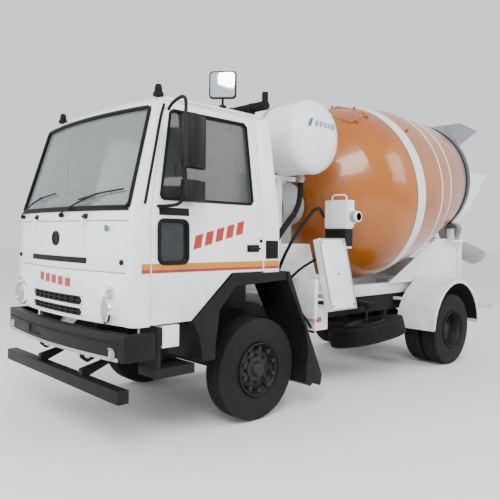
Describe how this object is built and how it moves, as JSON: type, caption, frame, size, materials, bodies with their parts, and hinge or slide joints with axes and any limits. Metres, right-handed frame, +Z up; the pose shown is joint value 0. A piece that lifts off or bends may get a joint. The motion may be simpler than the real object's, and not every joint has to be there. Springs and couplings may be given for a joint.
{
  "type": "concrete mixer truck",
  "caption": "Two-axle truck with a tilting cab and an inclined rotating drum for mixing concrete, with a loading hopper, discharge funnel and swinging chute at the rear.",
  "frame": {"origin": "centre of the bounding box on the ground, under the wheels", "axes": "+Z up, -Y towards the front of the vehicle, +X towards its left side"},
  "size_m": [2.44, 7.9547, 3.6],
  "materials": {
    "white_paint": "gloss",
    "orange_paint": "gloss",
    "black_plastic": "matte",
    "chassis_paint": "matte",
    "grey_paint": "satin",
    "tyre_rubber": "matte",
    "wheel_paint": "satin",
    "glass": "clear",
    "seat_fabric": "woven",
    "bare_steel": "worn"
  },
  "bodies": {
    "chassis": {"chassis_frame": "chassis_paint", "mixer_subframe": "white_paint", "front_bumper": "black_plastic", "underrun_bar": "black_plastic", "engine_block": "chassis_paint", "front_axle": "chassis_paint", "rear_axle": "chassis_paint", "entry_step_left": "black_plastic", "entry_step_right": "black_plastic", "fuel_tank": "white_paint", "silencer": "bare_steel", "battery_box": "white_paint", "spare_wheel": "tyre_rubber", "front_mudguard_left": "black_plastic", "front_mudguard_right": "black_plastic", "rear_mudguard_left": "white_paint", "rear_mudguard_right": "white_paint", "rear_bar": "white_paint", "drum_gearbox": "grey_paint", "front_pedestal": "white_paint", "water_tank": "white_paint", "control_box": "white_paint", "extension_chute": "white_paint", "rear_pedestal": "white_paint", "hopper": "grey_paint", "discharge_funnel": "white_paint", "ladder": "white_paint"},
    "cab": {"cab_shell": "white_paint", "windscreen": "glass", "front_panel": "white_paint", "dashboard": "black_plastic", "roof_mirror": "black_plastic", "air_intake": "black_plastic", "driver_seat": "seat_fabric", "passenger_seat": "seat_fabric", "wheel_arch_left": "black_plastic", "wheel_arch_right": "black_plastic"},
    "front_flap": {"front_flap": "white_paint"},
    "door_left": {"door_left": "white_paint", "mirror_left": "black_plastic"},
    "door_right": {"door_right": "white_paint"},
    "steering_wheel": {"steering_wheel": "black_plastic"},
    "knuckle_left": {"knuckle_left": "chassis_paint"},
    "knuckle_right": {"knuckle_right": "chassis_paint"},
    "front_wheel_left": {"wheel_front_left": "wheel_paint", "tyre_front_left": "tyre_rubber"},
    "front_wheel_right": {"wheel_front_right": "wheel_paint", "tyre_front_right": "tyre_rubber"},
    "rear_wheels_left": {"wheel_rear_left": "wheel_paint", "tyre_rear_left_outer": "tyre_rubber", "tyre_rear_left_inner": "tyre_rubber"},
    "rear_wheels_right": {"wheel_rear_right": "wheel_paint", "tyre_rear_right_outer": "tyre_rubber", "tyre_rear_right_inner": "tyre_rubber"},
    "drum": {"drum": "orange_paint"},
    "roller_left": {"drum_roller_left": "bare_steel"},
    "roller_right": {"drum_roller_right": "bare_steel"},
    "chute_arm": {"chute_arm": "white_paint"},
    "chute": {"chute": "grey_paint"}
  },
  "joints": [
    {"name": "cab_tilt", "type": "hinge", "parent": "chassis", "child": "cab", "pos_m": [-0.05, -3.8075, 0.72], "axis": [1, 0, 0], "range_deg": [0, 45]},
    {"name": "front_flap", "type": "hinge", "parent": "cab", "child": "front_flap", "pos_m": [-0.05, -3.8875, 1.851], "axis": [-1, 0, 0], "range_deg": [0, 85]},
    {"name": "door_left", "type": "hinge", "parent": "cab", "child": "door_left", "pos_m": [1.05, -3.6315, 1.5], "axis": [0, 0, -1], "range_deg": [0, 70]},
    {"name": "door_right", "type": "hinge", "parent": "cab", "child": "door_right", "pos_m": [-1.15, -3.6315, 1.5], "axis": [0, 0, 1], "range_deg": [0, 70]},
    {"name": "steering_wheel", "type": "hinge", "parent": "cab", "child": "steering_wheel", "pos_m": [-0.6, -3.2875, 2.06], "axis": [0, 0.5, 0.866], "range_deg": [-350, 350]},
    {"name": "steer_left", "type": "hinge", "parent": "chassis", "child": "knuckle_left", "pos_m": [0.73, -2.3575, 0.49], "axis": [0, 0, 1], "range_deg": [-35, 35]},
    {"name": "steer_right", "type": "hinge", "parent": "chassis", "child": "knuckle_right", "pos_m": [-0.83, -2.3575, 0.49], "axis": [0, 0, 1], "range_deg": [-35, 35]},
    {"name": "front_wheel_left", "type": "hinge", "parent": "knuckle_left", "child": "front_wheel_left", "pos_m": [0.8625, -2.3575, 0.49], "axis": [1, 0, 0], "continuous": true},
    {"name": "front_wheel_right", "type": "hinge", "parent": "knuckle_right", "child": "front_wheel_right", "pos_m": [-0.9625, -2.3575, 0.49], "axis": [1, 0, 0], "continuous": true},
    {"name": "rear_wheels_left", "type": "hinge", "parent": "chassis", "child": "rear_wheels_left", "pos_m": [0.78, 1.3925, 0.49], "axis": [1, 0, 0], "continuous": true},
    {"name": "rear_wheels_right", "type": "hinge", "parent": "chassis", "child": "rear_wheels_right", "pos_m": [-0.88, 1.3925, 0.49], "axis": [1, 0, 0], "continuous": true},
    {"name": "drum_spin", "type": "hinge", "parent": "chassis", "child": "drum", "pos_m": [-0.05, -0.83907, 2.15682], "axis": [0, 0.986, 0.1668], "continuous": true},
    {"name": "roller_left", "type": "hinge", "parent": "chassis", "child": "roller_left", "pos_m": [0.5325, 2.33151, 1.87996], "axis": [0, 0.986, 0.1668], "continuous": true},
    {"name": "roller_right", "type": "hinge", "parent": "chassis", "child": "roller_right", "pos_m": [-0.6325, 2.33151, 1.87996], "axis": [0, 0.986, 0.1668], "continuous": true},
    {"name": "chute_swing", "type": "hinge", "parent": "chassis", "child": "chute_arm", "pos_m": [-0.05, 2.8625, 1.5], "axis": [0, 0, 1], "range_deg": [-60, 60]},
    {"name": "chute_lift", "type": "hinge", "parent": "chute_arm", "child": "chute", "pos_m": [-0.02222, 3.02007, 1.52], "axis": [0.9848, -0.1736, 0], "range_deg": [-12, 30]}
  ],
  "couplings": [
    {"joint": "steer_right", "follows": "steer_left", "ratio": 1},
    {"joint": "steering_wheel", "follows": "steer_left", "ratio": 10},
    {"joint": "roller_left", "follows": "drum_spin", "ratio": -7.6087},
    {"joint": "roller_right", "follows": "drum_spin", "ratio": -7.6087}
  ]
}
